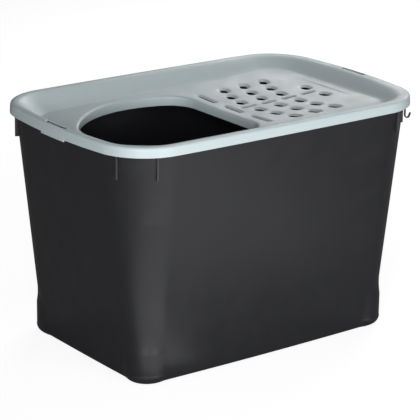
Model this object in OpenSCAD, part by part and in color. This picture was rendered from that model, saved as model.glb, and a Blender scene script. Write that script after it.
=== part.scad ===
// Top entry litter box: a tapered tub, a dished lid with an entry hole and a drain
// pattern, two snap tabs on the lid's short sides and a small hook on the tub's rim.
// X runs along the long side, Z is up, and the origin is under the middle of the box,
// on the surface that it stands on.

/* [Lid] */
// Length of the lid over its short sides
lid_l = 590.4; // [500:0.2:700]
// Depth of the lid over its long sides
lid_d = 382.6; // [330:0.2:450]
// Radius of the lid's corners, seen from above
lid_corner_r = 85.6; // [60:0.2:100]
// Radius of the bow of the short sides
short_bow_r = 891; // [600:1:1500]
// Radius of the bow of the long sides
long_bow_r = 11160; // [5000:10:20000]
// Height of the skirt that hangs over the tub's rim
skirt_h = 15.7; // [12:0.1:20]
// Wall of the lid
lid_wall = 2.4; // [2:0.1:3]
// Wall of the skirt
skirt_wall = 2; // [1.6:0.1:2.4]
// Width of the flat crest round the top
crest_w = 10; // [9.5:0.1:14]
// Width of the slope from the crest down to the dish
slope_w = 40; // [30:0.5:50]
// Depth of the dish at its middle, under the crest
dish_depth = 26.9; // [20:0.1:34]
// Radius of the dish along the length
dish_r_x = 3500; // [3000:10:9000]
// Radius of the dish along the depth
dish_r_y = 2080; // [1800:10:6000]
// Slope of the dish down to the left of its middle, as a rise over a run
dish_fall = 0.0125; // [0:0.0005:0.03]

/* [Entry hole] */
// Gap in plan from the lid's left end to the tip of the hole
hole_tip_gap = 69; // [62:0.1:90]
// Gap in plan from the lid's long sides to the hole
hole_side_gap = 59.8; // [56:0.1:80]
// Length of the hole from its tip to its straight edge
hole_l = 248.5; // [200:0.5:270]
// Radius of the hole's long flanks
hole_flank_r = 169; // [150:1:220]
// Place of the flanks' middle, behind the straight edge
hole_flank_set = 94.8; // [80:0.1:110]
// Radius of the hole's rounded tip
hole_tip_r = 141; // [100:1:200]
// Radius that rounds the hole's corners
hole_corner_r = 50; // [30:0.5:60]
// Wall of the collar that hangs round the hole
collar_wall = 2.6; // [2:0.1:4]
// Height of the collar's lower edge under the crest
collar_drop = 40; // [34:0.5:60]

/* [Drain pattern] */
// Gap from the hole's straight edge to the row of slots
slot_gap = 19.2; // [14:0.1:30]
// Width of the slots
slot_w = 5.5; // [3:0.1:7]
// Length of the slots
slot_l = 46; // [30:0.5:60]
// Distance between the slots' middles
slot_pitch = 70; // [55:0.5:80]
// Distance from the slots to the first arc of openings
arc_gap = 31.8; // [26:0.1:45]
// Distance between the arcs of openings
arc_pitch = 40.2; // [34:0.1:50]
// Distance between the openings of one arc
opening_pitch = 33; // [28:0.1:40]
// Place of an arc's first opening, from the middle line
opening_first = 24.2; // [20:0.1:30]
// Radius of the arcs of openings
arc_r = 238; // [180:1:400]
// Width of an opening
opening_w = 12; // [8:0.1:14]
// Length of an opening
opening_l = 19; // [15:0.1:24]
// Distance from the last dash to the pair of openings that ends the pattern
end_pair_gap = 12.5; // [10:0.1:20]
// Width of the dash in the middle of each arc
dash_w = 6; // [4:0.1:8]
// Length of the dash in the middle of each arc
dash_l = 25; // [18:0.5:30]

/* [Snap tabs] */
// Width of each snap tab
tab_w = 61.6; // [40:0.2:80]
// Length that a tab hangs below the skirt
tab_drop = 3; // [1:0.1:5]
// Height of a tab's flexing line under the crest
tab_hinge_drop = 4; // [3.6:0.1:6]
// Length of the slot in the crest above each tab
tab_slot_l = 57; // [30:0.5:70]
// Width of the slot in the crest
tab_slot_w = 4.5; // [3:0.1:6]
// Height of the gripping bead inside a tab
bead_h = 2.4; // [1:0.1:3]

/* [Tub] */
// Height of the whole box
box_h = 380; // [300:0.5:440]
// Gap in plan from the lid's outer face to the tub's wall, at the skirt's lower edge
wall_inset = 7.5; // [7.3:0.1:10]
// Corner radius of the tub at the skirt's lower edge
tub_top_r = 86.8; // [60:0.2:100]
// Length of the tub near its floor
tub_floor_l = 475; // [380:0.5:560]
// Depth of the tub near its floor
tub_floor_d = 305.8; // [250:0.5:370]
// Corner radius of the tub near its floor
tub_floor_r = 36.4; // [30:0.2:60]
// Bow radius of the tub's sides near its floor
floor_bow_r = 7000; // [4000:10:20000]
// Wall of the tub
tub_wall = 2.5; // [2:0.1:3.5]
// Rounding of the tub's lower edge
tub_fillet = 6; // [4:0.5:12]
// Thickness of the rim's lip
lip_wall = 1.5; // [1.2:0.1:2]
// Height of the rim's lip
lip_h = 11.5; // [8:0.1:12]

/* [Feet and ribs] */
// Height that the feet lift the floor
foot_lift = 0.8; // [0.5:0.1:3]
// Radius of a corner foot
foot_r = 34.2; // [30:0.1:38]
// How far a foot stands out past the floor's outline, along X
foot_set_x = 5.6; // [3:0.1:7]
// How far a foot stands out past the floor's outline, along Y
foot_set_y = 2.8; // [1:0.1:5]
// Rounding of a foot's lower edge
foot_edge_r = 14; // [10:0.5:20]
// Height at which the feet run out into the wall
foot_h = 62; // [50:1:90]
// Thickness of the stacking ribs
rib_t = 2.2; // [1.5:0.1:4]
// Height of the ribs below the skirt's lower edge
rib_h = 37; // [20:0.5:60]
// Gap in plan from the lid's outer face to the ribs' outer edge
rib_inset = 6.9; // [6.6:0.1:7.4]
// Angle of the first rib at each corner, from the long axis
rib_angle_1 = 28; // [15:0.5:40]
// Angle of the second rib at each corner, from the long axis
rib_angle_2 = 67.5; // [50:0.5:80]

/* [Hook] */
// Angle of the hook at its corner, from the long axis
hook_angle = 24.5; // [15:0.1:32]
// Width of the hook
hook_w = 5; // [4.4:0.1:6]
// Thickness of the hook's strip
hook_t = 1.6; // [1.2:0.1:2]
// Depth of the hook below the skirt's lower edge
hook_drop = 30.3; // [24:0.1:40]
// Radius of the hook's bend, to the middle of the strip
hook_bend_r = 3.6; // [3.6:0.1:5]
// Slope of the hook's rising tip, from level
hook_tip_slope = 72; // [45:1:80]
// Length of the hook's rising tip
hook_tip_l = 5; // [4:0.1:10]

/* [Hidden] */

tub_color = [0.2, 0.2, 0.215];
lid_color = [0.72, 0.77, 0.77];

// Points on half a side and on a corner of every outline
side_n = 3;
corner_n = 12;
// Rounds of the sum that finds a corner's middle
settle_n = 8;
// Gap between pieces that don't touch
clearance = 0.3;
// Length by which a cut runs past what it cuts
past = 1;

lid_hx = lid_l / 2;
lid_hy = lid_d / 2;
skirt_z = box_h - skirt_h;
crest_under_z = box_h - lid_wall;
rim_z = crest_under_z - 1.5 * clearance;
dish_z = box_h - dish_depth;
dish_edge = crest_w + slope_w;

// Middle of a corner's arc, where it runs smoothly into the bowed sides
function corner_mid(hx, hy, r, rx, ry, c, n) = n == 0 ? c
    : corner_mid(hx, hy, r, rx, ry,
        [hx - rx + sqrt((rx - r) ^ 2 - c.y ^ 2), hy - ry + sqrt((ry - r) ^ 2 - c.x ^ 2)], n - 1);

function settled_mid(hx, hy, r, rx, ry) =
    corner_mid(hx, hy, r, rx, ry, [hx - r, hy - r], settle_n);

// A quarter of an outline with bowed sides, from the X axis to the Y axis
function quarter(hx, hy, r, rx, ry) =
    let (c = settled_mid(hx, hy, r, rx, ry),
         ax = atan2(c.y, c.x - hx + rx),
         ay = atan2(c.x, c.y - hy + ry))
    concat(
        [for (i = [0:side_n - 1]) let (a = ax * i / side_n) [hx - rx + rx * cos(a), rx * sin(a)]],
        [for (i = [0:corner_n - 1]) let (a = ax + (90 - ay - ax) * i / corner_n)
            [c.x + r * cos(a), c.y + r * sin(a)]],
        [for (i = [0:side_n]) let (a = ay * (1 - i / side_n)) [ry * sin(a), hy - ry + ry * cos(a)]]);

// The whole outline, once round from the X axis
function outline(hx, hy, r, rx, ry) =
    let (q = quarter(hx, hy, r, rx, ry), n = len(q) - 1)
    concat(
        [for (i = [0:n - 1]) q[i]],
        [for (i = [n:-1:1]) [-q[i].x, q[i].y]],
        [for (i = [0:n - 1]) -q[i]],
        [for (i = [n:-1:1]) [q[i].x, -q[i].y]]);

function raised(points, z) = [for (p = points) [p.x, p.y, z]];

// Middle of the lid's corner arc
lid_mid = settled_mid(lid_hx, lid_hy, lid_corner_r, short_bow_r, long_bow_r);

// The lid's outline, drawn in by d
function lid_outline(d) =
    outline(lid_hx - d, lid_hy - d, lid_corner_r - d, short_bow_r - d, long_bow_r - d);

// The tub's outer outline at height z, drawn in by d
tub_top_hx = lid_hx - wall_inset;
tub_top_hy = lid_hy - wall_inset;
floor_ref_z = 3;
function blend(a, b, z) = a + (b - a) * (z - floor_ref_z) / (skirt_z - floor_ref_z);
function tub_hx(z) = blend(tub_floor_l / 2, tub_top_hx, z);
function tub_hy(z) = blend(tub_floor_d / 2, tub_top_hy, z);
function tub_r(z) = blend(tub_floor_r, tub_top_r, z);
function tub_bow(top_r, z) = 1 / blend(1 / floor_bow_r, 1 / top_r, z);
function tub_outline(z, d) =
    outline(tub_hx(z) - d, tub_hy(z) - d, max(tub_r(z) - d, 2),
        tub_bow(short_bow_r, z) - d, tub_bow(long_bow_r, z) - d);

// A closed skin through rings of points that run from the middle of the underside,
// round the outside and back to the middle of the top
module skin(rings, first, last) {
    m = len(rings[0]);
    n = len(rings);
    points = concat([first], [for (r = rings) each r], [last]);
    faces = concat(
        [for (k = [0:m - 1]) [0, 1 + k, 1 + (k + 1) % m]],
        [for (j = [0:n - 2]) for (k = [0:m - 1])
            let (a = 1 + j * m + k, b = 1 + j * m + (k + 1) % m)
            each [[a, a + m, b + m], [a, b + m, b]]],
        [for (k = [0:m - 1]) [n * m + 1, 1 + (n - 1) * m + (k + 1) % m, 1 + (n - 1) * m + k]]);
    polyhedron(points, faces);
}

// Height of the lid's top at a point that lies d in from the lid's outline
function dish_height(p) = dish_z + p.y ^ 2 / (2 * dish_r_y)
    + (p.x > 0 ? p.x ^ 2 / (2 * dish_r_x) : dish_fall * p.x);
function ease(u) = u * u * (3 - 2 * u);
function top_height(p, d) =
    let (s = ease(min(max((d - crest_w) / slope_w, 0), 1)), low = dish_height(p))
    box_h + (low - box_h) * s;

// Rings of the lid's top, lowered by drop, from the crest's inner edge to the middle
slope_steps = 8;
middle_steps = [0.75, 0.5, 0.25];
function top_rings(drop) =
    let (edge = lid_outline(dish_edge))
    concat(
        [for (i = [0:slope_steps]) let (d = crest_w + slope_w * i / slope_steps)
            [for (p = lid_outline(d)) [p.x, p.y, top_height(p, d) - drop]]],
        [for (s = middle_steps) [for (p = edge) [p.x * s, p.y * s, dish_height(p * s) - drop]]]);

function reversed(list) = [for (i = [len(list) - 1:-1:0]) list[i]];

// The lid's outer face and crest: how far in from the outline, and how far below the crest
crest_profile = [[0.3, 9], [0.6, 4], [1, 2], [2.1, 0.6], [4, 0]];

// The rings of the skirt's and the crest's outside
function outside_rings() = [for (q = crest_profile) raised(lid_outline(q[0]), box_h - q[1])];

// How much thicker the skirt is at its top
skirt_draft = 0.4;

// The moulded plate of the lid with its crest and skirt, before anything is cut
module lid_plate() {
    inside = [
        raised(lid_outline(skirt_wall + skirt_draft), crest_under_z),
        raised(lid_outline(skirt_wall), skirt_z),
        raised(lid_outline(0), skirt_z)];
    rings = concat(reversed(top_rings(lid_wall)), inside, outside_rings(), top_rings(0));
    skin(rings, [0, 0, dish_z - lid_wall], [0, 0, dish_z]);
}

// All the space under the lid's top, down to the collar's lower edge
collar_z = box_h - collar_drop;
module under_top() {
    rings = concat([raised(lid_outline(crest_w), collar_z)], top_rings(0));
    skin(rings, [0, 0, collar_z], [0, 0, dish_z]);
}

// The hole seen from above has two long flanks, a wide tip, a straight edge and round corners
hole_hy = lid_hy - hole_side_gap;
hole_edge_x = -lid_hx + hole_tip_gap + hole_l;
flank_x = hole_edge_x - hole_flank_set;
module flank_side(s) {
    translate([flank_x, s * (hole_hy - hole_flank_r)])
        circle(r = hole_flank_r, $fn = 160);
}

module entry_shape(inset) {
    offset(r = hole_corner_r - inset, $fn = 72)
        offset(delta = -hole_corner_r)
            intersection() {
                flank_side(1);
                flank_side(-1);
                translate([hole_edge_x - hole_l + hole_tip_r, 0])
                    circle(r = hole_tip_r, $fn = 160);
                translate([hole_edge_x - hole_l, -hole_hy])
                    square([hole_l, 2 * hole_hy]);
            }
}

// A round-ended opening, long along Y
module opening(x, y, w, l, turn) {
    translate([x, y, collar_z])
        rotate([0, 0, turn])
            hull() {
                for (s = [-1, 1]) {
                    translate([0, s * (l - w) / 2, 0])
                        cylinder(d = w, h = box_h - collar_z, $fn = 20);
                }
            }
}

slot_x = hole_edge_x + slot_gap;
first_arc_x = slot_x + arc_gap;
pattern_end_x = lid_hx - dish_edge + 10;
pattern_hy = lid_hy - dish_edge - 34;
arc_count = floor((pattern_end_x - first_arc_x - 25) / arc_pitch);
openings_a_side = floor((pattern_hy - opening_first) / opening_pitch) + 1;
slots_a_side = pattern_hy - slot_pitch > 0 ? 1 : 0;
end_pair_x = first_arc_x + arc_count * arc_pitch + end_pair_gap;

// How far an arc has moved along X at the distance y from the middle line
function arc_rise(y) = arc_r - sqrt(arc_r ^ 2 - y ^ 2);
function arc_turn(y) = -asin(y / arc_r);

module drain_pattern() {
    for (i = [-slots_a_side:slots_a_side]) {
        opening(slot_x, i * slot_pitch, slot_w, slot_l, 0);
    }
    for (i = [0:arc_count]) {
        opening(first_arc_x + i * arc_pitch - 2.5, 0, dash_w, dash_l, 90);
    }
    for (i = [0:arc_count - 1]) {
        for (s = [-1, 1]) {
            for (j = [0:openings_a_side - 1]) {
                y = opening_first + j * opening_pitch;
                opening(first_arc_x + i * arc_pitch + arc_rise(y), s * y,
                    opening_w, opening_l, s * arc_turn(y));
            }
        }
    }
    for (s = [-1, 1]) {
        opening(end_pair_x, s * opening_first, opening_w, opening_l, s * arc_turn(opening_first));
    }
}

// The part of a short side's skirt that a snap tab takes; s is -1 for the left side
tab_top_z = box_h - tab_hinge_drop;
module tab_window(s) {
    deep = skirt_wall + 1.2;
    translate([s * (lid_hx + past) - (s > 0 ? deep + past : 0), -tab_w / 2 - clearance, skirt_z - past])
        cube([deep + past, tab_w + 2 * clearance, tab_top_z - skirt_z + past]);
}

// The slot through the crest above a snap tab
module crest_slot(s) {
    translate([s * (lid_hx - crest_w + 4 - tab_slot_w / 2) - tab_slot_w / 2, -tab_slot_l / 2,
            crest_under_z - past])
        cube([tab_slot_w, tab_slot_l, lid_wall + 2 * past]);
}

module lid() {
    color(lid_color)
        difference() {
            union() {
                lid_plate();
                intersection() {
                    under_top();
                    translate([0, 0, collar_z])
                        linear_extrude(height = box_h - collar_z)
                            entry_shape(0);
                }
            }
            translate([0, 0, collar_z - past])
                linear_extrude(height = box_h - collar_z + 2 * past)
                    entry_shape(collar_wall);
            drain_pattern();
            for (s = [-1, 1]) {
                tab_window(s);
                crest_slot(s);
            }
        }
}

// A snap tab follows the bow of its short side, with a bead inside that grips the lip
clip_wall = 1;
lip_outer_d = skirt_wall + skirt_draft + 2 * clearance + clip_wall;
tab_steps = 10;
module snap_tab(s) {
    top_z = tab_top_z - clearance;
    low_z = skirt_z - tab_drop;
    bead_d = lip_outer_d - clearance;
    section = [
        [0, low_z + 0.6],
        [0, skirt_z + 4],
        [0.5, top_z],
        [skirt_wall + 0.3, top_z],
        [skirt_wall, skirt_z + 4],
        [skirt_wall, skirt_z + bead_h + 0.8],
        [bead_d, skirt_z + bead_h],
        [bead_d, skirt_z + 0.8],
        [skirt_wall, skirt_z],
        [skirt_wall, low_z],
        [0.6, low_z]];
    m = len(section);
    rings = [for (i = [0:tab_steps]) let (y = tab_w * (i / tab_steps - 0.5))
        [for (q = section) let (r = short_bow_r - q[0])
            [s * (lid_hx - short_bow_r + sqrt(r ^ 2 - y ^ 2)), s * y, q[1]]]];
    points = [for (r = rings) each r];
    sides = [for (j = [0:tab_steps - 1]) for (k = [0:m - 1])
        let (a = j * m + k, b = j * m + (k + 1) % m)
        each [[a, b + m, a + m], [a, b, b + m]]];
    polyhedron(points, concat(
        [[for (k = [m - 1:-1:0]) k]],
        sides,
        [[for (k = [0:m - 1]) tab_steps * m + k]]));
}

module left_snap_tab() {
    color(lid_color) snap_tab(-1);
}

module right_snap_tab() {
    color(lid_color) snap_tab(1);
}

// The outside of the tub with its turned-down lip, as a full body
fillet_steps = 5;
floor_z = foot_lift;
lip_z = rim_z - lip_h;
lip_under_z = rim_z - 3;
module tub_outside() {
    outer_edge = [for (i = [0:fillet_steps]) let (a = 90 * i / fillet_steps,
            z = floor_z + tub_fillet * (1 - cos(a)))
        raised(tub_outline(z, tub_fillet * (1 - sin(a))), z)];
    wall = [for (z = [120, 240, lip_under_z]) raised(tub_outline(z, 0), z)];
    lip_inner_d = lip_outer_d + lip_wall;
    rim = [
        raised(lid_outline(lip_inner_d), lip_under_z),
        raised(lid_outline(lip_inner_d), lip_z),
        raised(lid_outline(lip_outer_d), lip_z),
        raised(lid_outline(lip_outer_d), rim_z - 1.2),
        raised(lid_outline(lip_outer_d + 1.2), rim_z)];
    skin(concat(outer_edge, wall, rim), [0, 0, floor_z], [0, 0, rim_z]);
}

// The space inside the tub
module tub_inside() {
    inner_r = tub_fillet - tub_wall;
    inner_edge = [for (i = [0:fillet_steps]) let (a = 90 * i / fillet_steps,
            z = floor_z + tub_wall + inner_r * (1 - cos(a)))
        raised(tub_outline(z, tub_wall + inner_r * (1 - sin(a))), z)];
    inner = [for (z = [120, 240, rim_z + past]) raised(tub_outline(z, tub_wall), z)];
    skin(concat(inner_edge, inner), [0, 0, floor_z + tub_wall], [0, 0, rim_z + past]);
}

// A foot is a straight column with a round lower edge and a sloped top
foot_bevel_w = 2.4;
foot_bevel_h = 6;
foot_x = tub_floor_l / 2 + foot_set_x - foot_r;
foot_y = tub_floor_d / 2 + foot_set_y - foot_r;
module foot_column(inset, low, high) {
    r = foot_r - inset;
    edge = foot_edge_r - inset;
    rotate_extrude($fn = 48)
        polygon(concat(
            [[0, low]],
            [for (i = [0:4]) let (a = 90 * i / 4)
                [r - edge * (1 - sin(a)), low + edge * (1 - cos(a))]],
            [[r, high - foot_bevel_h], [r - foot_bevel_w, high], [0, high]]));
}

// Reach of a ray from a point inside a corner, in the direction a, to a round of radius r
function reach(off, r, a) =
    off * [cos(a), sin(a)] + sqrt(r ^ 2 - (off.x * sin(a) - off.y * cos(a)) ^ 2);

// A rib is a thin fin that fills the gap between the tapered wall and its own straight edge
function tub_mid(z) =
    settled_mid(tub_hx(z), tub_hy(z), tub_r(z), tub_bow(short_bow_r, z), tub_bow(long_bow_r, z));
rib_sink = 0.8;
module rib(a) {
    low = skirt_z - rib_h;
    mid = tub_mid(skirt_z);
    edge = reach(lid_mid - mid, lid_corner_r - rib_inset, a);
    low_edge = reach(tub_mid(low) - mid, tub_r(low), a) - rib_sink;
    top_edge = reach(tub_mid(lip_under_z) - mid, tub_r(lip_under_z), a) - rib_sink;
    translate([mid.x, mid.y, 0])
        rotate([0, 0, a])
            hull() {
                translate([low_edge, -rib_t / 2, low])
                    cube([edge - low_edge, rib_t, 1]);
                translate([top_edge, -rib_t / 2, lip_under_z])
                    cube([max(edge - top_edge, 0.4), rib_t, 1]);
            }
}

module corners() {
    for (sx = [0, 1]) {
        for (sy = [0, 1]) {
            mirror([sx, 0, 0]) mirror([0, sy, 0]) children();
        }
    }
}

module tub() {
    color(tub_color)
        difference() {
            union() {
                tub_outside();
                corners() {
                    translate([foot_x, foot_y, 0])
                        foot_column(0, 0, foot_h);
                    for (a = [rib_angle_1, rib_angle_2]) {
                        rib(a);
                    }
                }
            }
            tub_inside();
            corners() {
                translate([foot_x, foot_y, 0])
                    foot_column(tub_wall, tub_wall, foot_h - tub_wall);
            }
        }
}

// The hook clips up onto the rim's lip and hangs below the skirt. Its profile is drawn
// with X as the distance from the middle of the corner's arc
hook_leg_x = lid_corner_r - skirt_wall - skirt_draft - clearance - hook_t;
hook_bend_mid = [hook_leg_x + hook_t / 2 + hook_bend_r, skirt_z - hook_drop + hook_bend_r + hook_t / 2];
bend_end = 270 + hook_tip_slope;
bend_steps = 12;
tip_steps = 6;
clip_top_z = lip_z + 6;
inner_clip_top_z = lip_z + 4;
web_z = lip_z - clearance - hook_t;
function bend_arc(r) = [for (i = [0:bend_steps]) let (a = 180 + (bend_end - 180) * i / bend_steps)
    hook_bend_mid + r * [cos(a), sin(a)]];
module hook_profile() {
    outer_x = hook_leg_x + hook_t;
    inner_x = lid_corner_r - lip_outer_d - lip_wall - clearance;
    tip_mid = hook_bend_mid + hook_bend_r * [cos(bend_end), sin(bend_end)]
        + hook_tip_l * [cos(hook_tip_slope), sin(hook_tip_slope)];
    tip = [for (i = [0:tip_steps]) let (a = hook_tip_slope - 90 + 180 * i / tip_steps)
        tip_mid + hook_t / 2 * [cos(a), sin(a)]];
    polygon(concat(
        [[inner_x - clip_wall, web_z], [hook_leg_x, web_z]],
        bend_arc(hook_bend_r + hook_t / 2),
        tip,
        reversed(bend_arc(hook_bend_r - hook_t / 2)),
        [[outer_x, clip_top_z],
            [outer_x - clip_wall, clip_top_z],
            [outer_x - clip_wall, web_z + hook_t],
            [inner_x, web_z + hook_t],
            [inner_x, inner_clip_top_z],
            [inner_x - clip_wall, inner_clip_top_z]]));
}

module scoop_hook() {
    color(tub_color)
        translate([lid_mid.x, -lid_mid.y, 0])
            rotate([90, 0, -hook_angle])
                translate([0, 0, -hook_w / 2])
                    linear_extrude(height = hook_w)
                        hook_profile();
}

tub();
lid();
left_snap_tab();
right_snap_tab();
scoop_hook();
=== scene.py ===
"""The looks of the top entry litter box: a charcoal tub, a light dished lid with an entry
hole and a drain pattern, two snap tabs and a small hook. All sizes in the tables are
millimetres in the frame of the CAD model."""

import math

import bmesh
import bpy
import numpy as np
from mathutils import Matrix, Vector
from mathutils.geometry import delaunay_2d_cdt


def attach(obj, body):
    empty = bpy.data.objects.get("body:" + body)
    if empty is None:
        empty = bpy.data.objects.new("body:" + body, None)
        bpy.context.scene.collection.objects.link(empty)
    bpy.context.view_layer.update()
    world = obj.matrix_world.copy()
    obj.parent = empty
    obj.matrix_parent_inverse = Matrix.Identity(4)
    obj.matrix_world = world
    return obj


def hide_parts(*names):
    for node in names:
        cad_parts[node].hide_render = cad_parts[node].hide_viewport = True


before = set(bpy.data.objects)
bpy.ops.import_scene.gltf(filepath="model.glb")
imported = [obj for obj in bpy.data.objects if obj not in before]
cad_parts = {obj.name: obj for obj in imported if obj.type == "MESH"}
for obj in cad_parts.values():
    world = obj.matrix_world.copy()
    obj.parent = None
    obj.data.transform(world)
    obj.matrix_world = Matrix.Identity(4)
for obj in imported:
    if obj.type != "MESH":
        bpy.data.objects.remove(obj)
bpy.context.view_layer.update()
MM = 0.001

# ---- sizes, as in the CAD model ----
BOX_H = 380.0
LID = dict(hx=295.2, hy=191.3, r=85.6, rx=891.0, ry=11160.0)
SKIRT_Z = BOX_H - 15.7
LID_WALL = 2.4
CREST_W = 10.0
SLOPE_W = 40.0
DISH_Z = 353.1
DISH_RX, DISH_RY = 3500.0, 2080.0
DISH_FALL = 0.0125
COLLAR_Z = 340.0
COLLAR_W = 2.6
TUB_WALL = 2.5
FLOOR_REF_Z = 3.0
TUB_LOW = dict(hx=237.5, hy=152.9, r=36.4, kx=1 / 7000.0, ky=1 / 7000.0)
TUB_TOP = dict(hx=287.7, hy=183.8, r=86.8, kx=1 / 891.0, ky=1 / 11160.0)
FILLET = 6.0
FLOOR_Z = 0.8
RIM_Z = 377.15
LIP_Z = 365.65
LIP_UNDER_Z = 374.15
LIP_OUT, LIP_IN = 4.0, 5.5
RIB_T, RIB_LOW, RIB_INSET = 2.2, SKIRT_Z - 37.0, 6.9
RIB_ANGLES = (28.0, 67.5)
TAB_HALF = 30.8
TAB_TOP_Z = BOX_H - 4.0
GAP = 0.3
HOOK_TURN = -24.5
HOOK_LOW_Z = SKIRT_Z - 30.3

# The feet: middle, radius, rounding of the bottom edge, height, and the long taper at
# the top; the taper is longer than in the CAD model
FOOT_R = 34.2
FOOT = dict(x=237.5 + 5.6 - FOOT_R, y=152.9 + 2.8 - FOOT_R, r=FOOT_R, edge=14.0, h=92.0,
            bevel_w=6.0, bevel_h=46.0)
FOOT_STEP = 0.5
FOOT_BLEND = 3.0

SHARP = 40.0


# ---- outlines ----
def settled_mid(hx, hy, r, rx, ry):
    """Middle of a corner's arc, where it runs smoothly into the bowed sides."""
    cx, cy = hx - r, hy - r
    for _ in range(12):
        cx, cy = (
            hx - rx + math.sqrt((rx - r) ** 2 - cy * cy),
            hy - ry + math.sqrt((ry - r) ** 2 - cx * cx),
        )
    return cx, cy


def outline(hx, hy, r, rx, ry, spec):
    """A bowed outline, once round from the X axis. spec gives the fractions of half a short
    side, the number of points on a corner and the fractions of half a long side."""
    cx, cy = settled_mid(hx, hy, r, rx, ry)
    ax = math.atan2(cy, cx - hx + rx)
    ay = math.atan2(cx, cy - hy + ry)
    short, corner, long = spec
    a = ax * short
    side = np.stack([hx - rx + rx * np.cos(a), rx * np.sin(a)], 1)
    a = ax + (math.pi / 2 - ay - ax) * np.arange(corner) / corner
    bend = np.stack([cx + r * np.cos(a), cy + r * np.sin(a)], 1)
    a = ay * (1 - long)
    front = np.stack([ry * np.sin(a), hy - ry + ry * np.cos(a)], 1)
    q = np.concatenate([side, bend, front])
    n = len(q) - 1
    return np.concatenate([q[:n], q[n:0:-1] * [-1, 1], -q[:n], q[n:0:-1] * [1, -1]])


LID_SPEC = (np.arange(9) / 9, 26, np.linspace(0, 1, 17))
FINE_SPEC = (
    np.concatenate([np.linspace(0, 0.7, 7)[:-1], np.linspace(0.7, 1, 13)[:-1]]),
    26,
    np.concatenate([np.linspace(0, 0.2, 16)[:-1], np.linspace(0.2, 1, 12)]),
)


def lid_outline(d, spec=LID_SPEC):
    """The lid's outline drawn in by d."""
    return outline(*(LID[k] - d for k in ("hx", "hy", "r", "rx", "ry")), spec)


def tub_values(z):
    """The tub's half length, half depth, corner radius and side curvatures at height z."""
    f = (z - FLOOR_REF_Z) / (SKIRT_Z - FLOOR_REF_Z)
    return {k: TUB_LOW[k] + (TUB_TOP[k] - TUB_LOW[k]) * f for k in TUB_LOW}


def tub_outline(z, d):
    """The tub's outline at height z, drawn in by d."""
    v = tub_values(z)
    return outline(
        v["hx"] - d, v["hy"] - d, max(v["r"] - d, 2.0), 1 / v["kx"] - d, 1 / v["ky"] - d, FINE_SPEC
    )


def tub_mid(z):
    v = tub_values(z)
    return settled_mid(v["hx"], v["hy"], v["r"], 1 / v["kx"], 1 / v["ky"])


def raised(points, z):
    """Flat points put at one height, or each at its own."""
    return np.column_stack([points, np.full(len(points), z) if np.isscalar(z) else z])


def ease(u):
    u = np.clip(u, 0, 1)
    return u * u * (3 - 2 * u)


# ---- meshes ----
def linked(name, data):
    """A new object in the scene."""
    obj = bpy.data.objects.new(name, data)
    bpy.context.scene.collection.objects.link(obj)
    return obj


def from_bmesh(name, bm):
    """A new object with the mesh of bm, which is freed."""
    mesh = bpy.data.meshes.new(name)
    bm.to_mesh(mesh)
    bm.free()
    return linked(name, mesh)


class Skin:
    """Collects points and faces, and makes them into one object."""

    def __init__(self):
        self.points, self.faces, self.count = [], [], 0

    def add(self, points):
        points = np.asarray(points, float)
        self.points.append(points)
        first = self.count
        self.count += len(points)
        return np.arange(first, self.count)

    def strip(self, a, b):
        """Faces between two closed rows of points of one length."""
        n = len(a)
        for i in range(n):
            j = (i + 1) % n
            self.faces.append((int(a[i]), int(a[j]), int(b[j]), int(b[i])))

    def strips(self, rows):
        for a, b in zip(rows, rows[1:]):
            self.strip(a, b)

    def fan(self, ring, centre):
        """Faces from a closed row of points to one point, given by its place."""
        middle = self.add([centre])[0]
        n = len(ring)
        for i in range(n):
            self.faces.append((int(ring[i]), int(ring[(i + 1) % n]), int(middle)))

    def build(self, name):
        mesh = bpy.data.meshes.new(name)
        mesh.from_pydata((np.concatenate(self.points) * MM).tolist(), [], self.faces)
        bm = bmesh.new()
        bm.from_mesh(mesh)
        bmesh.ops.remove_doubles(bm, verts=bm.verts, dist=1e-6)
        bmesh.ops.recalc_face_normals(bm, faces=bm.faces)
        bm.to_mesh(mesh)
        bm.free()
        obj = linked(name, mesh)
        soften(obj)
        return obj


def soften(obj):
    """Smooth shading with sharp edges where faces meet at more than SHARP degrees."""
    obj.data.shade_smooth()
    obj.data.set_sharp_from_angle(angle=math.radians(SHARP))


def apply_modifiers(obj):
    depsgraph = bpy.context.evaluated_depsgraph_get()
    mesh = bpy.data.meshes.new_from_object(obj.evaluated_get(depsgraph))
    obj.modifiers.clear()
    obj.data = mesh


def combine(obj, other, operation):
    """Joins other to obj or cuts it out, and removes other."""
    bpy.context.view_layer.update()
    mod = obj.modifiers.new("combine", "BOOLEAN")
    mod.operation = operation
    mod.solver = "MANIFOLD"
    mod.object = other
    apply_modifiers(obj)
    bpy.data.objects.remove(other)


def bevelled(obj, width, segments, angle):
    """Rounds the edges of obj that are sharper than angle."""
    mod = obj.modifiers.new("round", "BEVEL")
    mod.width = width * MM
    mod.segments = segments
    mod.limit_method = "ANGLE"
    mod.angle_limit = math.radians(angle)
    mod.harden_normals = False
    apply_modifiers(obj)
    return obj


def extruded(name, rows, half, place):
    """A flat profile of (x, z) points given a thickness along its own Y, moved by place."""
    bm = bmesh.new()
    verts = [bm.verts.new((x * MM, -half * MM, z * MM)) for x, z in rows]
    face = bm.faces.new(verts)
    made = bmesh.ops.extrude_face_region(bm, geom=[face])
    moved = [v for v in made["geom"] if isinstance(v, bmesh.types.BMVert)]
    bmesh.ops.translate(bm, verts=moved, vec=(0, 2 * half * MM, 0))
    bmesh.ops.recalc_face_normals(bm, faces=bm.faces)
    bmesh.ops.transform(bm, matrix=place, verts=bm.verts)
    return from_bmesh(name, bm)


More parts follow.
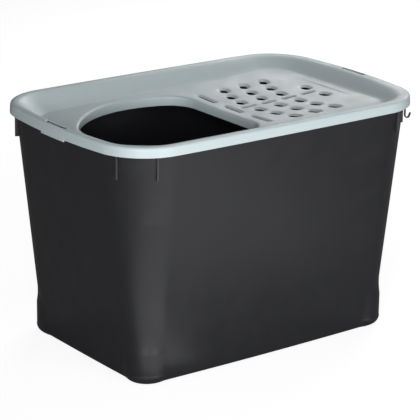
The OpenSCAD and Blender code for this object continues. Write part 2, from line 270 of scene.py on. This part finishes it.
def cutter(x, w, half_y, low, high, r):
    """An upright block across the middle of a side, with rounded upright edges."""
    bm = bmesh.new()
    bmesh.ops.create_cube(bm, size=1.0)
    bmesh.ops.scale(bm, vec=(w * MM, 2 * half_y * MM, (high - low) * MM), verts=bm.verts)
    bmesh.ops.translate(bm, vec=(x * MM, 0, (low + high) / 2 * MM), verts=bm.verts)
    upright = [e for e in bm.edges if abs(e.verts[0].co.z - e.verts[1].co.z) > 1e-4]
    bmesh.ops.bevel(bm, geom=upright, offset=r * MM, segments=4, profile=0.5, affect="EDGES")
    return from_bmesh("cutter", bm)


# ---- the tub ----
def foot_distance(p, inset, low):
    """Distance of points to the four foot columns, less than 0 inside them."""
    x, y, z = np.abs(p[:, 0]), np.abs(p[:, 1]), p[:, 2] - low
    r = FOOT["r"] - inset
    edge = FOOT["edge"] - inset
    high = FOOT["h"] - 2 * low
    bevel_w, bevel_h = FOOT["bevel_w"], FOOT["bevel_h"]
    rho = np.hypot(x - FOOT["x"], y - FOOT["y"])
    step = FOOT_STEP * ease((z - edge + 0.6) / 1.2) if inset == 0 else 0.0
    side = rho - (r - step)
    bevel = (rho - r) * bevel_h + (z - high + bevel_h) * bevel_w
    bevel = bevel / math.hypot(bevel_w, bevel_h)
    upper = np.maximum(np.maximum(side, bevel), z - high)
    under = np.where(rho > r - edge, np.hypot(rho - r + edge, edge - z) - edge, -z)
    return np.where(z >= edge, upper, np.maximum(under, bevel))


def grown(rings, inset, low):
    """The rings of a wall, moved out along their normals to where the feet stand out."""
    grid = np.stack(rings)
    along = np.roll(grid, -1, 1) - np.roll(grid, 1, 1)
    up = np.empty_like(grid)
    up[1:-1] = grid[2:] - grid[:-2]
    up[0], up[-1] = grid[1] - grid[0], grid[-1] - grid[-2]
    normal = np.cross(along, up)
    normal /= np.linalg.norm(normal, axis=2, keepdims=True) + 1e-12
    p, n = grid.reshape(-1, 3), normal.reshape(-1, 3)
    near = foot_distance(p, inset, low) < 4.0
    near &= p[:, 2] < FOOT["h"] + 8
    q, m = p[near], n[near]
    # Bisection for the place along each normal where wall and foot, blended, end
    lo, hi = np.zeros(len(q)), np.full(len(q), 9.0)
    for _ in range(26):
        t = (lo + hi) / 2
        s = foot_distance(q + m * t[:, None], inset, low)
        h = np.maximum(FOOT_BLEND - np.abs(t - s), 0) / FOOT_BLEND
        inside = np.minimum(t, s) - h * h * FOOT_BLEND / 4 < 0
        lo, hi = np.where(inside, t, lo), np.where(inside, hi, t)
    out = p.copy()
    out[near] = q + m * lo[:, None]
    out[:, 2] = np.maximum(out[:, 2], low)
    return list(out.reshape(grid.shape))


FLOOR_STEPS = np.concatenate([[0.12, 0.3, 0.48, 0.62], np.arange(0.7, 0.995, 0.0125)])
WALL_LEVELS = np.concatenate([np.arange(FILLET + FLOOR_Z + 1.2, 99, 2.0),
                              [104, 125, 160, 200, 240, 280, 315, 345]])


def wall_rings(inset, floor_z):
    """Rings of the tub's skin from the middle of the floor, round the edge and up."""
    r = FILLET - inset
    inner = tub_outline(floor_z, FILLET)
    rings = [raised(inner * s, floor_z) for s in FLOOR_STEPS]
    for i in range(11):
        a = math.radians(90 * i / 10)
        z = floor_z + r * (1 - math.cos(a))
        rings.append(raised(tub_outline(z, inset + r * (1 - math.sin(a))), z))
    return rings + [raised(tub_outline(z, inset), z) for z in WALL_LEVELS]


# The rim's outside, down the turned lip's inner face and up its outer one: how far in
# from the lid's outline, and height
RIM_SECTION = [
    (LIP_IN + 0.6, LIP_UNDER_Z), (LIP_IN, LIP_UNDER_Z - 0.6), (LIP_IN, LIP_Z + 0.4),
    (LIP_IN - 0.35, LIP_Z), (LIP_OUT + 0.35, LIP_Z), (LIP_OUT, LIP_Z + 0.4),
    (LIP_OUT, RIM_Z - 2.2), (LIP_OUT + 0.25, RIM_Z - 1.2), (LIP_OUT + 0.9, RIM_Z - 0.4),
    (LIP_OUT + 2.0, RIM_Z),
]
# The top of the tub's inner wall: how far in from the outer wall, and height
INNER_TOP = [(TUB_WALL, 365), (TUB_WALL, RIM_Z - 1.0), (TUB_WALL - 0.3, RIM_Z - 0.3),
             (TUB_WALL - 1.0, RIM_Z)]


def make_tub():
    skin = Skin()
    outside = grown(wall_rings(0.0, FLOOR_Z), 0.0, 0.0)
    outside += [raised(tub_outline(z, 0), z) for z in (362.0, 370.0, LIP_UNDER_Z - 1.2)]
    rim = [raised(lid_outline(d, FINE_SPEC), z) for d, z in RIM_SECTION]
    inside = grown(wall_rings(TUB_WALL, FLOOR_Z + TUB_WALL), TUB_WALL, TUB_WALL)
    inside += [raised(tub_outline(z, d), z) for d, z in INNER_TOP]
    rows = [skin.add(r) for r in outside + rim + inside[::-1]]
    skin.strips(rows)
    skin.fan(rows[0], [0, 0, FLOOR_Z])
    skin.fan(rows[-1], [0, 0, FLOOR_Z + TUB_WALL])
    tub = skin.build("tub_moulding")
    for sx in (1, -1):
        for sy in (1, -1):
            for angle in RIB_ANGLES:
                combine(tub, make_rib(angle, sx, sy), "UNION")
    soften(tub)
    return tub


def reach(off, r, a):
    """Distance from a point inside a corner to its arc, along the direction a."""
    across = off[0] * math.sin(a) - off[1] * math.cos(a)
    return off[0] * math.cos(a) + off[1] * math.sin(a) + math.sqrt(r * r - across * across)


def make_rib(angle, sx, sy):
    """A thin fin whose outer edge is upright, from under the rim down past the skirt."""
    a = math.radians(angle)
    mid = tub_mid(SKIRT_Z)
    lid_mid = settled_mid(**LID)
    edge = reach((lid_mid[0] - mid[0], lid_mid[1] - mid[1]), LID["r"] - RIB_INSET, a)

    def wall(z):
        m = tub_mid(z)
        return reach((m[0] - mid[0], m[1] - mid[1]), tub_values(z)["r"], a) - 1.0

    top = LIP_UNDER_Z - 3
    rows = [(wall(RIB_LOW), RIB_LOW), (edge, RIB_LOW), (edge, SKIRT_Z),
            (max(edge, wall(top) + 1.2), top), (wall(top), top)]
    turn = Matrix.Translation((mid[0] * MM, mid[1] * MM, 0)) @ Matrix.Rotation(a, 4, "Z")
    place = Matrix.Diagonal((sx, sy, 1, 1)) @ turn
    rib = extruded("rib", rows, RIB_T / 2, place)
    # Where the rib is mirrored, its faces are turned outward again
    bm = bmesh.new()
    bm.from_mesh(rib.data)
    bmesh.ops.recalc_face_normals(bm, faces=bm.faces)
    bm.to_mesh(rib.data)
    bm.free()
    return bevelled(rib, 0.5, 2, 30.0)


# ---- the lid ----
def dish_height(x, y):
    return DISH_Z + np.where(x > 0, x**2 / (2 * DISH_RX), DISH_FALL * x) + y**2 / (2 * DISH_RY)


def on_dish(points, drop):
    """Flat points put on the dish, lower by drop."""
    return raised(points, dish_height(points[:, 0], points[:, 1]) - drop)


CREST_STEP = 0.35


def top_ring(d, drop=0.0):
    """A ring of the lid's top that lies d in from its outline."""
    p = lid_outline(d)
    s = ease((d - CREST_W) / SLOPE_W)
    low = dish_height(p[:, 0], p[:, 1])
    step = CREST_STEP * ease((d - 9.0) / 1.2) * (1 - s)
    return raised(p, BOX_H - step + (low - BOX_H) * s - drop)


# The lid's cross-section at its edge: how far in from the outline, and depth below the top
UNDER_CREST = [(5.5, 2.4), (4.2, 2.5), (3.2, 3.0), (2.65, 3.9), (2.4, 5.2), (2.2, 9.0),
               (2.0, 15.2), (1.8, 15.55), (1.4, 15.7), (0.6, 15.7), (0.2, 15.55),
               (0.02, 15.15)]
CREST = [(0.05, 14.0), (0.3, 9.0), (0.5, 5.6), (0.65, 4.3), (0.85, 3.3), (1.2, 2.35),
         (1.75, 1.5), (2.5, 0.85), (3.4, 0.4), (4.5, 0.12), (5.8, 0.0), (7.6, 0.0)]
SLOPE_D = [9.0, 9.6, 10.2, 10.8, 12, 14, 16.5, 19, 22, 25, 28, 31, 34, 37, 40, 43, 46, 48.5]
DISH_EDGE = CREST_W + SLOPE_W

# The hole: two long flanks of one radius, a wide tip, a straight edge and round corners
HOLE_EDGE_X = 22.3
HOLE_TIP_X = -226.2
HOLE_HY = 131.5
FLANK_R, FLANK_X = 169.0, 22.3 - 94.8
CORNER_R, TIP_R = 50.0, 141.0


def hole_loop(d):
    """The hole's outline drawn in by d."""
    cy = HOLE_HY - FLANK_R
    kx = HOLE_EDGE_X - CORNER_R
    ky = cy + math.sqrt((FLANK_R - CORNER_R) ** 2 - (kx - FLANK_X) ** 2)
    # Where the flank's and the tip's circles, drawn in by the corner radius, meet
    mx = HOLE_TIP_X + TIP_R
    ra, rb = FLANK_R - CORNER_R, TIP_R - CORNER_R
    gap = math.hypot(mx - FLANK_X, -cy)
    along = (ra * ra - rb * rb + gap * gap) / (2 * gap)
    across = math.sqrt(ra * ra - along * along)
    ux, uy = (mx - FLANK_X) / gap, -cy / gap
    tx = FLANK_X + along * ux - across * uy
    ty = cy + along * uy + across * ux
    if tx > FLANK_X:
        tx, ty = FLANK_X + along * ux + across * uy, cy + along * uy - across * ux
    a_corner = math.atan2(ky - cy, kx - FLANK_X)
    a_flank = math.atan2(ty - cy, tx - FLANK_X)
    a_tip = math.atan2(ty, tx - mx)

    def arc(x, y, r, start, stop, n):
        return [(x + r * math.cos(a), y + r * math.sin(a)) for a in np.linspace(start, stop, n)]

    edge = [(HOLE_EDGE_X - d, y) for y in np.linspace(0, ky, 7)[:-1]]
    corner = arc(kx, ky, CORNER_R - d, 0, a_corner, 13)[:-1]
    flank = arc(FLANK_X, cy, FLANK_R - d, a_corner, a_flank, 23)[:-1]
    turn = arc(tx, ty, CORNER_R - d, a_flank, a_tip, 10)[:-1]
    tip = arc(mx, 0, TIP_R - d, a_tip, math.pi, 13)
    half = np.array(edge + corner + flank + turn + tip)
    return np.concatenate([half, half[-2:0:-1] * [1, -1]])


# The hole's lip, down to its wall: how far in from its outline, and depth below the dish
HOLE_TOP = [(-3.2, 0.0), (-2.0, 0.04), (-1.0, 0.16), (0.0, 0.42), (0.8, 0.85), (1.45, 1.5),
            (1.95, 2.3), (2.3, 3.2), (2.5, 4.4)]
# The collar round its lower edge: how far in, and height
COLLAR = [(COLLAR_W, 350.0), (COLLAR_W + 0.05, COLLAR_Z + 0.9), (COLLAR_W - 0.2, COLLAR_Z + 0.3),
          (COLLAR_W - 0.8, COLLAR_Z), (0.8, COLLAR_Z), (0.2, COLLAR_Z + 0.3),
          (0.0, COLLAR_Z + 0.9)]
# Back out under the dish: how far in, and depth below the dish's underside
HOLE_UNDER = [(0.0, 2.2), (-0.6, 0.9), (-1.8, 0.25), (-3.2, 0.0)]


def stadium(x, y, w, l, turn, off):
    """A round-ended outline, long along Y before it turns, grown by off."""
    r = w / 2 + off
    h = (l - w) / 2
    side = max(int(l / 8), 2)
    a = np.linspace(0, math.pi, 13)
    cap = np.stack([r * np.cos(a), h + r * np.sin(a)], 1)
    run = np.stack([np.full(side - 1, -r), np.linspace(h, -h, side + 1)[1:-1]], 1)
    half = np.concatenate([cap, run])
    p = np.concatenate([half, -half])
    c, s = math.cos(turn), math.sin(turn)
    return p @ np.array([[c, s], [-s, c]]) + [x, y]


ARC_R, ARC_PITCH, FIRST_ARC_X = 238.0, 40.2, 73.4
OVAL_W, OVAL_L, OVAL_FIRST, OVAL_PITCH = 12.0, 19.0, 24.2, 33.0
SLOT_X, SLOT_W, SLOT_L, SLOT_PITCH = 41.6, 5.5, 46.0, 70.0
DASH_W, DASH_L, DASH_BACK = 6.0, 25.0, 2.5
END_PAIR_X = 206.5
# How a drain opening's edge falls: distance out from its wall, and depth
OVAL_EDGE = [(6.0, 0.0), (4.8, 0.12), (3.6, 0.4), (2.5, 0.78), (1.5, 1.2), (0.7, 1.6),
             (0.2, 1.95), (0.0, 2.3)]
SLOT_EDGE = [(4.0, 0.0), (3.0, 0.12), (2.1, 0.4), (1.3, 0.8), (0.6, 1.25), (0.2, 1.7),
             (0.0, 2.1)]
# How the wall below each ring of that edge gets thinner, and its least
EDGE_THINNING, EDGE_WALL = 0.55, 0.9
# A low ridge past the end of the pattern: its core's middle, width and length, and then
# distance out from the core and depth, which is less than 0 for a height
RIDGE = (232.0, 0.0, 1.0, 112.0)
RIDGE_EDGE = [(4.2, 0.0), (3.3, -0.05), (2.3, -0.19), (1.4, -0.35), (0.6, -0.44), (0.2, -0.46)]


def drain_pattern():
    """Every opening of the drain pattern: place, width, length, turn and edge."""
    made = [(SLOT_X, i * SLOT_PITCH, SLOT_W, SLOT_L, 0.0, SLOT_EDGE) for i in (-1, 0, 1)]
    made += [(FIRST_ARC_X + i * ARC_PITCH - DASH_BACK, 0.0, DASH_W, DASH_L, math.pi / 2,
              SLOT_EDGE) for i in range(4)]
    for i in range(3):
        for s in (-1, 1):
            for j in range(3):
                y = OVAL_FIRST + j * OVAL_PITCH
                x = FIRST_ARC_X + i * ARC_PITCH + ARC_R - math.sqrt(ARC_R**2 - y * y)
                made.append((x, s * y, OVAL_W, OVAL_L, -s * math.asin(y / ARC_R), OVAL_EDGE))
    for s in (-1, 1):
        turn = -s * math.asin(OVAL_FIRST / ARC_R)
        made.append((END_PAIR_X, s * OVAL_FIRST, OVAL_W, OVAL_L, turn, OVAL_EDGE))
    return made


def inside_loop(points, loop):
    """Which points lie inside a closed loop."""
    x, y = points[:, 0][:, None], points[:, 1][:, None]
    ax, ay = loop[:, 0][None], loop[:, 1][None]
    bx, by = np.roll(loop[:, 0], -1)[None], np.roll(loop[:, 1], -1)[None]
    crosses = (ay > y) != (by > y)
    with np.errstate(divide="ignore", invalid="ignore"):
        hit = crosses & (x < (bx - ax) * (y - ay) / (by - ay) + ax)
    return hit.sum(1) % 2 == 1


def away_from(points, loop, gap):
    """Which points are further than gap from every point of a densely drawn loop."""
    step = np.roll(loop, -1, 0) - loop
    dense = np.concatenate([loop + step * f for f in (0, 0.25, 0.5, 0.75)])
    d = np.sqrt(((points[:, None] - dense[None]) ** 2).sum(2)).min(1)
    return d > gap


def dish_grid(border, holes):
    """Points spread evenly over the dish, clear of its border and of the holes in it."""
    step = 6.5
    xs = np.arange(-250, 251, step)
    ys = np.arange(-150, 151, step * 0.866)
    grid = np.array([(x + (step / 2 if k % 2 else 0), y) for k, y in enumerate(ys) for x in xs])
    grid = grid[inside_loop(grid, border) & away_from(grid, border, 4.0)]
    for loop in holes:
        grid = grid[~inside_loop(grid, loop) & away_from(grid, loop, 3.0)]
    return grid


def add_dish(skin, border, hole, ridge, openings):
    """The dish's top and underside, with gaps where the hole, ridge and openings are."""
    grid = dish_grid(border, openings + [hole, ridge])
    loops = [border, hole, ridge] + openings
    edges, first = [], 0
    for loop in loops:
        n = len(loop)
        edges += [(first + i, first + (i + 1) % n) for i in range(n)]
        first += n
    flat = np.concatenate(loops + [grid])
    out = delaunay_2d_cdt([Vector(p) for p in flat], edges, [], 0, 1e-7)
    corners, faces = np.array([tuple(v) for v in out[0]]), out[2]
    middle = np.array([corners[list(f)].mean(0) for f in faces])
    keep = inside_loop(middle, border)
    for loop in loops[1:]:
        keep &= ~inside_loop(middle, loop)
    top = skin.add(on_dish(corners, 0.0))
    low = skin.add(on_dish(corners, LID_WALL))
    for f, k in zip(faces, keep):
        if k:
            skin.faces.append(tuple(int(top[i]) for i in f))
            skin.faces.append(tuple(int(low[i]) for i in reversed(f)))


# What is cut out at the middle of each short side: how far in from the outline, width, half
# length, lowest and highest level, and rounding. The tab's place, then the slot in the
# crest and the pocket below it
SIDE_CUTS = [
    (1.2, 4.0, TAB_HALF + GAP, SKIRT_Z - 2, TAB_TOP_Z, 0.4),
    (8.4, 6.4, 28.5, 376.0, 382.0, 1.6),
    (9.4, 8.4, 30.5, 375.0, 378.8, 1.6),
]


def make_lid():
    skin = Skin()
    rim = [raised(lid_outline(d), BOX_H - h) for d, h in UNDER_CREST + CREST]
    under = [top_ring(d, LID_WALL) for d in reversed(SLOPE_D)]
    over = [top_ring(d) for d in SLOPE_D]
    edge_top, edge_under = top_ring(DISH_EDGE), top_ring(DISH_EDGE, LID_WALL)
    skin.strips([skin.add(r) for r in [edge_under] + under + rim + over + [edge_top]])

    pattern = drain_pattern()
    openings = [[on_dish(stadium(x, y, w, l, turn, off), h) for off, h in edge]
                for x, y, w, l, turn, edge in pattern]
    x, y, w, l = RIDGE
    ridge = [on_dish(stadium(x, y, w, l, 0.0, off), h) for off, h in RIDGE_EDGE]
    hole = [on_dish(hole_loop(d), h) for d, h in HOLE_TOP]
    add_dish(skin, edge_top[:, :2], hole[0][:, :2], ridge[0][:, :2],
             [o[0][:, :2] for o in openings])

    for tops in openings:
        lows = [t - [0, 0, max(LID_WALL - EDGE_THINNING * i, EDGE_WALL)]
                for i, t in enumerate(tops)]
        skin.strips([skin.add(r) for r in tops + lows[::-1]])
    ridge_under = ridge[0] - [0, 0, LID_WALL]
    skin.fan(skin.add(ridge_under), ridge_under.mean(0))
    rows = [skin.add(r) for r in ridge]
    skin.strips(rows)
    skin.fan(rows[-1], ridge[-1].mean(0))
    collar = [raised(hole_loop(d), z) for d, z in COLLAR]
    hole_under = [on_dish(hole_loop(d), LID_WALL + h) for d, h in HOLE_UNDER]
    skin.strips([skin.add(r) for r in hole + collar + hole_under])
    lid = skin.build("lid_moulding")

    for s in (-1, 1):
        for inset, *rest in SIDE_CUTS:
            combine(lid, cutter(s * (LID["hx"] - inset), *rest), "DIFFERENCE")
    soften(lid)
    return lid


def make_tab(name, s):
    """A snap tab that follows the bow of its short side, s being -1 on the left."""
    low, high = SKIRT_Z - 3.0, TAB_TOP_Z - GAP
    bead = LIP_OUT - GAP
    # Up the outer face, over the top, down the inner face and round the bead
    section = [
        (0.0, low + 0.6), (0.0, SKIRT_Z), (0.05, SKIRT_Z + 1.7), (0.3, BOX_H - 9.0),
        (0.5, BOX_H - 5.6), (0.62, high - 0.3), (0.85, high), (2.2, high), (2.35, high - 0.3),
        (2.1, SKIRT_Z + 4), (2.0, SKIRT_Z + 3.4), (bead - 0.4, SKIRT_Z + 2.5),
        (bead, SKIRT_Z + 2.1), (bead, SKIRT_Z + 1.1), (bead - 0.4, SKIRT_Z + 0.7),
        (2.0, SKIRT_Z), (2.0, low + 0.5), (1.6, low), (0.5, low), (0.1, low + 0.2),
    ]
    # Places along the tab, and how much the section shrinks there to round its ends
    ends = [(TAB_HALF, 0.35), (TAB_HALF - 0.12, 0.1), (TAB_HALF - 0.45, 0.0)]
    stations = [(-y, inward) for y, inward in ends]
    stations += [(y, 0.0) for y in np.linspace(-28, 28, 15)] + ends[::-1]
    skin = Skin()
    rows = []
    for y, inward in stations:
        ring = []
        for d, z in section:
            d = min(max(d, inward), bead - inward)
            z = min(max(z, low + inward), high - inward)
            r = LID["rx"] - d
            ring.append((s * (LID["hx"] - LID["rx"] + math.sqrt(r * r - y * y)), y, z))
        rows.append(skin.add(ring))
    skin.strips(rows)
    for row in (rows[0], rows[-1]):
        skin.faces.append(tuple(int(i) for i in row))
    return skin.build(name)


# ---- the hook ----
def make_hook():
    """A bent strip that grips the rim's lip from below and ends in a J. Its profile's x is
    the distance from the middle of the lid's corner."""
    t, radius, slope, tip_l = 1.9, 3.6, math.radians(72), 5.0
    corner = LID["r"]
    leg = corner - 2.0 - 0.4 - GAP - t
    mid = (leg + t / 2 + radius, HOOK_LOW_Z + radius + t / 2)
    end = math.radians(270) + slope
    web_z = LIP_Z - GAP - t
    inner = corner - LIP_IN - GAP

    def bend(r):
        return [(mid[0] + r * math.cos(a), mid[1] + r * math.sin(a))
                for a in np.linspace(math.pi, end, 19)]

    tip_mid = (mid[0] + radius * math.cos(end) + tip_l * math.cos(slope),
               mid[1] + radius * math.sin(end) + tip_l * math.sin(slope))
    tip = [(tip_mid[0] + t / 2 * math.cos(a), tip_mid[1] + t / 2 * math.sin(a))
           for a in np.linspace(slope - math.pi / 2, slope + math.pi / 2, 9)]
    rows = [(inner - 1, web_z), (leg, web_z)]
    rows += bend(radius + t / 2) + tip[1:-1] + bend(radius - t / 2)[::-1]
    rows += [(leg + t, LIP_Z + 6), (leg + t - 1, LIP_Z + 6), (leg + t - 1, web_z + t),
             (inner, web_z + t), (inner, LIP_Z + 4), (inner - 1, LIP_Z + 4)]
    mid_x, mid_y = settled_mid(**LID)
    place = Matrix.Translation((mid_x * MM, -mid_y * MM, 0))
    place = place @ Matrix.Rotation(math.radians(HOOK_TURN), 4, "Z")
    hook = extruded("rim_hook", rows, 2.5, place)
    bevelled(hook, 0.3, 2, 40)
    soften(hook)
    return hook


# ---- materials ----
# The numbers of a colour mix node's two colour inputs and of its result
MIX_A, MIX_B, MIX_RESULT = 6, 7, 2


def plastic(name, colour, rough, grain=0.06, mottle=0.05):
    """Moulded plastic: a fine pebble, slow changes of tone and gloss, and a painted highlight that
    makes convex edges paler.
    """
    mat = bpy.data.materials.new(name)
    mat.use_nodes = True
    tree = mat.node_tree
    tree.nodes.clear()
    new, link = tree.nodes.new, tree.links.new

    def noise(scale, detail, rough_n=0.5):
        n = new("ShaderNodeTexNoise")
        n.inputs["Scale"].default_value = scale
        n.inputs["Detail"].default_value = detail
        n.inputs["Roughness"].default_value = rough_n
        link(where.outputs["Object"], n.inputs["Vector"])
        return n.outputs["Fac"]

    def ranged(value, low, high, to_low, to_high):
        n = new("ShaderNodeMapRange")
        for key, v in (("From Min", low), ("From Max", high),
                       ("To Min", to_low), ("To Max", to_high)):
            n.inputs[key].default_value = v
        link(value, n.inputs["Value"])
        return n.outputs["Result"]

    def mixed(fac, a, b):
        """A mix of two colours, each a tuple or another node's output."""
        n = new("ShaderNodeMix")
        n.data_type = "RGBA"
        n.clamp_factor = True
        link(fac, n.inputs["Factor"])
        for socket, v in ((n.inputs[MIX_A], a), (n.inputs[MIX_B], b)):
            if isinstance(v, tuple):
                socket.default_value = v
            else:
                link(v, socket)
        return n.outputs[MIX_RESULT]

    def bump(strength, distance, height):
        n = new("ShaderNodeBump")
        n.inputs["Strength"].default_value = strength
        n.inputs["Distance"].default_value = distance
        link(height, n.inputs["Height"])
        return n

    def toned(k):
        return tuple(min(c * k, 1.0) for c in colour) + (1.0,)

    where = new("ShaderNodeTexCoord")
    shader = new("ShaderNodeBsdfPrincipled")
    out = new("ShaderNodeOutputMaterial")
    link(shader.outputs["BSDF"], out.inputs["Surface"])

    slow = ranged(noise(9.0, 3.0), 0.3, 0.7, 0.0, 1.0)
    base = mixed(slow, toned(1 - mottle), toned(1 + mottle))
    speck = ranged(noise(620.0, 2.0), 0.52, 0.72, 0.0, 0.22)
    base = mixed(speck, base, toned(1 + 3 * mottle))
    point = new("ShaderNodeNewGeometry")
    # Convex edges, found by pointiness, are made paler: a painted highlight along the edges
    edge = ranged(point.outputs["Pointiness"], 0.515, 0.56, 0.0, 0.12)
    edge_highlight = tuple(c + (1 - c) * 0.35 for c in colour) + (1.0,)
    base = mixed(edge, base, edge_highlight)
    link(base, shader.inputs["Base Color"])

    smear = noise(28.0, 4.0, 0.6)
    link(ranged(smear, 0.3, 0.7, rough - 0.05, rough + 0.06), shader.inputs["Roughness"])
    shader.inputs["IOR"].default_value = 1.49
    shader.inputs["Specular IOR Level"].default_value = 0.5

    pebble = bump(grain, 0.0004, noise(1400.0, 3.0))
    wave = bump(0.05, 0.002, noise(16.0, 1.0))
    link(pebble.outputs["Normal"], wave.inputs["Normal"])
    link(wave.outputs["Normal"], shader.inputs["Normal"])
    return mat


TUB_COLOUR = (0.0158, 0.0162, 0.019)
LID_COLOUR = (0.52, 0.607, 0.625)
HOOK_COLOUR = (0.012, 0.012, 0.013)
tub_plastic = plastic("charcoal_polypropylene", TUB_COLOUR, 0.37, grain=0.08)
lid_plastic = plastic("pale_polypropylene", LID_COLOUR, 0.45, grain=0.05, mottle=0.015)
hook_plastic = plastic("hook_polypropylene", HOOK_COLOUR, 0.38)


def finish_piece(obj, mat, body, node):
    obj.data.materials.clear()
    obj.data.materials.append(mat)
    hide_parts(node)
    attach(obj, body)


finish_piece(make_tub(), tub_plastic, "tub_body", "tub")
finish_piece(make_lid(), lid_plastic, "lid_body", "lid")
finish_piece(make_tab("left_snap_tongue", -1), lid_plastic, "left_tab_body", "left_snap_tab")
finish_piece(make_tab("right_snap_tongue", 1), lid_plastic, "right_tab_body", "right_snap_tab")
finish_piece(make_hook(), hook_plastic, "tub_body", "scoop_hook")


# ---- the camera, as fitted to the photograph ----
AZ, EL, ROLL = map(math.radians, (-37.0376, 17.9284, 0.8098))
CAMERA_DISTANCE = 3.28412
AIM = Vector((0, 0, 0.2))
FOCAL_PX, FRAME_PX = 2084.40, 420.0
CENTRE_PX = (210.866, 206.914)
SENSOR = 36.0


def way_from(az, el):
    """The direction from the middle to a place at an azimuth and elevation in radians."""
    return Vector((math.sin(az) * math.cos(el), -math.cos(az) * math.cos(el), math.sin(el)))


def make_camera():
    data = bpy.data.cameras.new("camera")
    camera = linked("camera", data)
    bpy.context.scene.camera = camera
    back = way_from(AZ, EL)
    right = Vector((math.cos(AZ), math.sin(AZ), 0))
    up = back.cross(right)
    rolled_right = right * math.cos(ROLL) + up * math.sin(ROLL)
    rolled_up = up * math.cos(ROLL) - right * math.sin(ROLL)
    turned = Matrix((rolled_right, rolled_up, back)).transposed().to_4x4()
    camera.matrix_world = Matrix.Translation(AIM + back * CAMERA_DISTANCE) @ turned
    data.sensor_width = SENSOR
    data.lens = FOCAL_PX / FRAME_PX * SENSOR
    data.shift_x = -(CENTRE_PX[0] - FRAME_PX / 2) / FRAME_PX
    data.shift_y = (CENTRE_PX[1] - FRAME_PX / 2) / FRAME_PX
    data.clip_start, data.clip_end = 0.1, 50.0


# ---- floor, world and lamps ----
FLOOR_TONE = 0.3
FLOOR_GLOW = 0.85
FLOOR_LEVEL = -0.0005
AMBIENT = 0.02


def camera_mix(tree, unseen, seen, output):
    """Gives a camera ray the shader seen and every other ray the shader unseen."""
    path = tree.nodes.new("ShaderNodeLightPath")
    mix = tree.nodes.new("ShaderNodeMixShader")
    out = tree.nodes.new(output)
    tree.links.new(path.outputs["Is Camera Ray"], mix.inputs[0])
    tree.links.new(unseen.outputs[0], mix.inputs[1])
    tree.links.new(seen.outputs[0], mix.inputs[2])
    tree.links.new(mix.outputs[0], out.inputs["Surface"])


def make_floor():
    """A pale floor that takes a shadow, and that a camera ray sees brighter."""
    bm = bmesh.new()
    bmesh.ops.create_grid(bm, x_segments=2, y_segments=2, size=12.0)
    floor = from_bmesh("floor", bm)
    floor.location.z = FLOOR_LEVEL
    mat = bpy.data.materials.new("pale_floor")
    mat.use_nodes = True
    tree = mat.node_tree
    tree.nodes.clear()
    new, link = tree.nodes.new, tree.links.new
    paint = new("ShaderNodeBsdfDiffuse")
    paint.inputs["Color"].default_value = (FLOOR_TONE, FLOOR_TONE, FLOOR_TONE, 1)
    glow = new("ShaderNodeEmission")
    glow.inputs["Strength"].default_value = FLOOR_GLOW
    both = new("ShaderNodeAddShader")
    link(paint.outputs[0], both.inputs[0])
    link(glow.outputs[0], both.inputs[1])
    camera_mix(tree, paint, both, "ShaderNodeOutputMaterial")
    floor.data.materials.append(mat)


def make_world():
    """White to the camera, and a weak fill for the rest."""
    world = bpy.data.worlds.new("studio")
    bpy.context.scene.world = world
    world.use_nodes = True
    tree = world.node_tree
    tree.nodes.clear()

    def white(strength):
        n = tree.nodes.new("ShaderNodeBackground")
        n.inputs["Color"].default_value = (1, 1, 1, 1)
        n.inputs["Strength"].default_value = strength
        return n

    camera_mix(tree, white(AMBIENT), white(1.0), "ShaderNodeOutputWorld")


# name: (azimuth, elevation, distance, width, height, watts)
LAMPS = {
    "front": (5, 8, 2.6, 1.6, 1.0, 32.0),
    "corner": (-42, 15, 2.8, 0.8, 1.2, 46.0),
    "side": (-95, 25, 2.6, 1.2, 1.2, 5.0),
    "high": (-10, 60, 2.4, 1.4, 1.4, 3.5),
    "back": (125, 30, 2.6, 1.6, 1.2, 28.0),
}
# Wide weak sheets of light just over the floor, as bounce cards would give:
# (x, y), (length, depth), watts
BOUNCES = {
    "bounce_front": ((-0.05, -0.75), (0.9, 0.7), 1.1),
    "bounce_corner": ((-0.33, -0.46), (0.42, 0.56), 0.55),
}
BOUNCE_LEVEL = 0.008


def area_lamp(name, size, watts):
    data = bpy.data.lights.new(name, "AREA")
    data.shape = "RECTANGLE"
    data.size, data.size_y = size
    data.energy = watts
    return linked(name, data)


def make_lamps():
    for name, (az, el, distance, width, height, watts) in LAMPS.items():
        way = way_from(math.radians(az), math.radians(el))
        lamp = area_lamp(name, (width, height), watts)
        lamp.location = AIM + way * distance
        lamp.rotation_mode = "QUATERNION"
        lamp.rotation_quaternion = way.to_track_quat("Z", "Y")


def make_bounces():
    for name, ((x, y), size, watts) in BOUNCES.items():
        lamp = area_lamp(name, size, watts)
        lamp.location = (x, y, BOUNCE_LEVEL)
        lamp.rotation_euler = (math.pi, 0, 0)
        lamp.visible_camera = False


make_camera()
make_bounces()
make_floor()
make_world()
make_lamps()
scene = bpy.context.scene
scene.view_settings.view_transform = "Standard"
